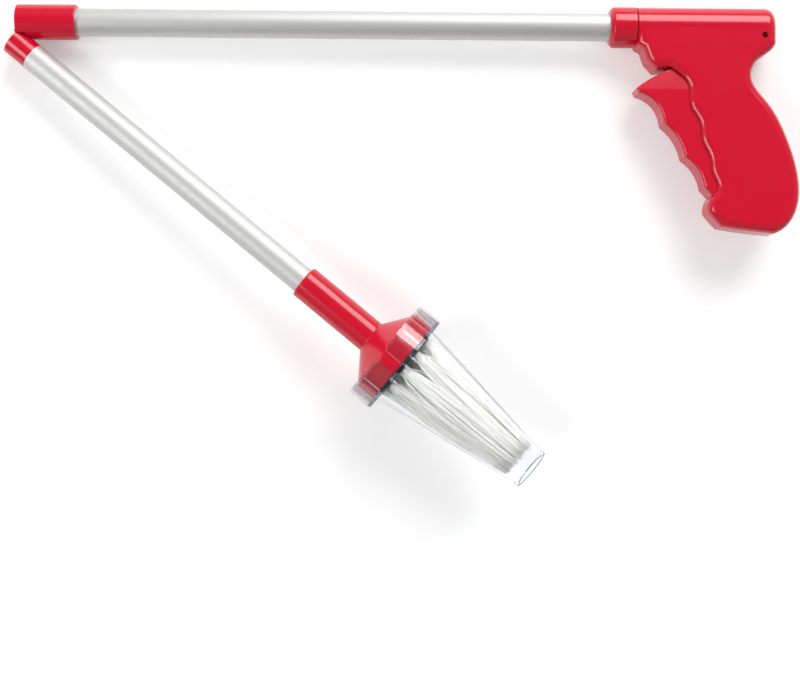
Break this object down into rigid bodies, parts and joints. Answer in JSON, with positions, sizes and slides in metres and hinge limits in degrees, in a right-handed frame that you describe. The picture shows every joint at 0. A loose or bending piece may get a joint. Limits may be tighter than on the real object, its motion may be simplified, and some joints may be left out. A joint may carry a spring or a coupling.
{
  "type": "folding spider catcher",
  "caption": "Folding hand-held insect catcher: trigger grip, hinged tube with a locking sleeve and a bristle head under a clear cone guard.",
  "frame": {"origin": "centre of the hang hole in the rear of the grip, midway between its shells", "axes": "+X along the upper tube towards the grip's rear, +Y up in the laid-down view from the arm towards the upper tube, +Z along the fold pin, out of the surface that it lies on"},
  "size_m": [0.3674, 0.223, 0.051],
  "materials": {
    "black_plastic": "satin moulded plastic",
    "red_plastic": "glossy red plastic",
    "aluminium": "satin drawn tube",
    "steel": "bright steel",
    "spring_steel": "spring steel",
    "grey_plastic": "dark grey plastic",
    "white_bristle": "fine white bristle",
    "clear_plastic": "clear plastic",
    "cord": "braided cord"
  },
  "bodies": {
    "grip": {"left_grip_shell": "red_plastic", "right_grip_shell": "red_plastic", "grip_screws": "steel", "nose_ring": "red_plastic", "trigger_pin": "steel", "trigger_spring": "spring_steel", "overload_spring": "spring_steel", "trigger_cord": "cord", "upper_tube": "aluminium", "upper_hinge_plug": "grey_plastic", "hinge_pins": "steel"},
    "trigger": {"trigger": "red_plastic"},
    "pull_rod": {"upper_pull_rod": "steel"},
    "arm": {"lower_collar": "red_plastic", "lower_tube": "aluminium", "head_socket": "red_plastic", "finger_hub": "black_plastic", "ring_wire": "steel", "joint_cord": "cord", "return_spring": "spring_steel"},
    "spreader": {"spreader": "black_plastic", "lower_pull_rod": "steel"},
    "guard": {"clear_guard": "clear_plastic"},
    "lock_sleeve": {"lock_sleeve": "red_plastic"},
    "finger_1": {"bristle_finger_1": "black_plastic", "bristle_bundle_1": "white_bristle"},
    "finger_2": {"bristle_finger_2": "black_plastic", "bristle_bundle_2": "white_bristle"},
    "finger_3": {"bristle_finger_3": "black_plastic", "bristle_bundle_3": "white_bristle"},
    "finger_4": {"bristle_finger_4": "black_plastic", "bristle_bundle_4": "white_bristle"},
    "finger_5": {"bristle_finger_5": "black_plastic", "bristle_bundle_5": "white_bristle"},
    "finger_6": {"bristle_finger_6": "black_plastic", "bristle_bundle_6": "white_bristle"},
    "finger_7": {"bristle_finger_7": "black_plastic", "bristle_bundle_7": "white_bristle"},
    "finger_8": {"bristle_finger_8": "black_plastic", "bristle_bundle_8": "white_bristle"},
    "finger_9": {"bristle_finger_9": "black_plastic", "bristle_bundle_9": "white_bristle"},
    "finger_10": {"bristle_finger_10": "black_plastic", "bristle_bundle_10": "white_bristle"}
  },
  "joints": [
    {"name": "fold", "type": "hinge", "parent": "grip", "child": "arm", "pos_m": [-0.3445, 0, 0], "axis": [0, 0, 1], "range_deg": [-140.6, 0], "deforming": ["joint_cord"]},
    {"name": "trigger_pull", "type": "hinge", "parent": "grip", "child": "trigger", "pos_m": [-0.017, -0.0701, 0], "axis": [0, 0, -1], "range_deg": [0, 8], "stiffness_Nm_per_rad": 1.2, "springref_deg": -8.59, "deforming": ["trigger_spring", "trigger_cord", "overload_spring", "return_spring"]},
    {"name": "rod_pull", "type": "slide", "parent": "grip", "child": "pull_rod", "axis": [1, 0, 0], "range_m": [0, 0.00371]},
    {"name": "spreader_pull", "type": "slide", "parent": "arm", "child": "spreader", "axis": [-0.7727, 0.6347, 0], "range_m": [0, 0.00371]},
    {"name": "guard_slide", "type": "slide", "parent": "arm", "child": "guard", "axis": [0.7727, -0.6347, 0], "range_m": [0, 0.09]},
    {"name": "sleeve_slide", "type": "slide", "parent": "grip", "child": "lock_sleeve", "axis": [1, 0, 0], "range_m": [0, 0.015]},
    {"name": "finger_1_open", "type": "hinge", "parent": "arm", "child": "finger_1", "pos_m": [-0.16384, -0.14446, -0.00097], "axis": [0.0774, 0.0942, 0.9925], "range_deg": [0, 24.1], "deforming": ["bristle_bundle_1"]},
    {"name": "finger_2_open", "type": "hinge", "parent": "arm", "child": "finger_2", "pos_m": [-0.16444, -0.14519, 0.00388], "axis": [-0.3077, -0.3746, 0.8746], "range_deg": [0, 24.1], "deforming": ["bristle_bundle_2"]},
    {"name": "finger_3_open", "type": "hinge", "parent": "arm", "child": "finger_3", "pos_m": [-0.16673, -0.14799, 0.00725], "axis": [-0.5753, -0.7003, 0.4226], "range_deg": [0, 24.1], "deforming": ["bristle_bundle_3"]},
    {"name": "finger_4_open", "type": "hinge", "parent": "arm", "child": "finger_4", "pos_m": [-0.16985, -0.15178, 0.00785], "axis": [-0.6231, -0.7585, -0.1908], "range_deg": [0, 24.1], "deforming": ["bristle_bundle_4"]},
    {"name": "finger_5_open", "type": "hinge", "parent": "arm", "child": "finger_5", "pos_m": [-0.17259, -0.15512, 0.00546], "axis": [-0.4329, -0.527, -0.7314], "range_deg": [0, 24.1], "deforming": ["bristle_bundle_5"]},
    {"name": "finger_6_open", "type": "hinge", "parent": "arm", "child": "finger_6", "pos_m": [-0.17392, -0.15674, 0.00097], "axis": [-0.0774, -0.0942, -0.9925], "range_deg": [0, 24.1], "deforming": ["bristle_bundle_6"]},
    {"name": "finger_7_open", "type": "hinge", "parent": "arm", "child": "finger_7", "pos_m": [-0.17332, -0.15601, -0.00388], "axis": [0.3077, 0.3746, -0.8746], "range_deg": [0, 24.1], "deforming": ["bristle_bundle_7"]},
    {"name": "finger_8_open", "type": "hinge", "parent": "arm", "child": "finger_8", "pos_m": [-0.17102, -0.15321, -0.00725], "axis": [0.5753, 0.7003, -0.4226], "range_deg": [0, 24.1], "deforming": ["bristle_bundle_8"]},
    {"name": "finger_9_open", "type": "hinge", "parent": "arm", "child": "finger_9", "pos_m": [-0.16791, -0.14942, -0.00785], "axis": [0.6231, 0.7585, 0.1908], "range_deg": [0, 24.1], "deforming": ["bristle_bundle_9"]},
    {"name": "finger_10_open", "type": "hinge", "parent": "arm", "child": "finger_10", "pos_m": [-0.16516, -0.14608, -0.00546], "axis": [0.4329, 0.527, 0.7314], "range_deg": [0, 24.1], "deforming": ["bristle_bundle_10"]}
  ],
  "couplings": [
    {"joint": "rod_pull", "follows": "trigger_pull", "m_per_rad": 0.026499},
    {"joint": "spreader_pull", "follows": "trigger_pull", "m_per_rad": 0.026499},
    {"joint": "finger_1_open", "follows": "trigger_pull", "ratio": 3},
    {"joint": "finger_2_open", "follows": "trigger_pull", "ratio": 3},
    {"joint": "finger_3_open", "follows": "trigger_pull", "ratio": 3},
    {"joint": "finger_4_open", "follows": "trigger_pull", "ratio": 3},
    {"joint": "finger_5_open", "follows": "trigger_pull", "ratio": 3},
    {"joint": "finger_6_open", "follows": "trigger_pull", "ratio": 3},
    {"joint": "finger_7_open", "follows": "trigger_pull", "ratio": 3},
    {"joint": "finger_8_open", "follows": "trigger_pull", "ratio": 3},
    {"joint": "finger_9_open", "follows": "trigger_pull", "ratio": 3},
    {"joint": "finger_10_open", "follows": "trigger_pull", "ratio": 3}
  ]
}
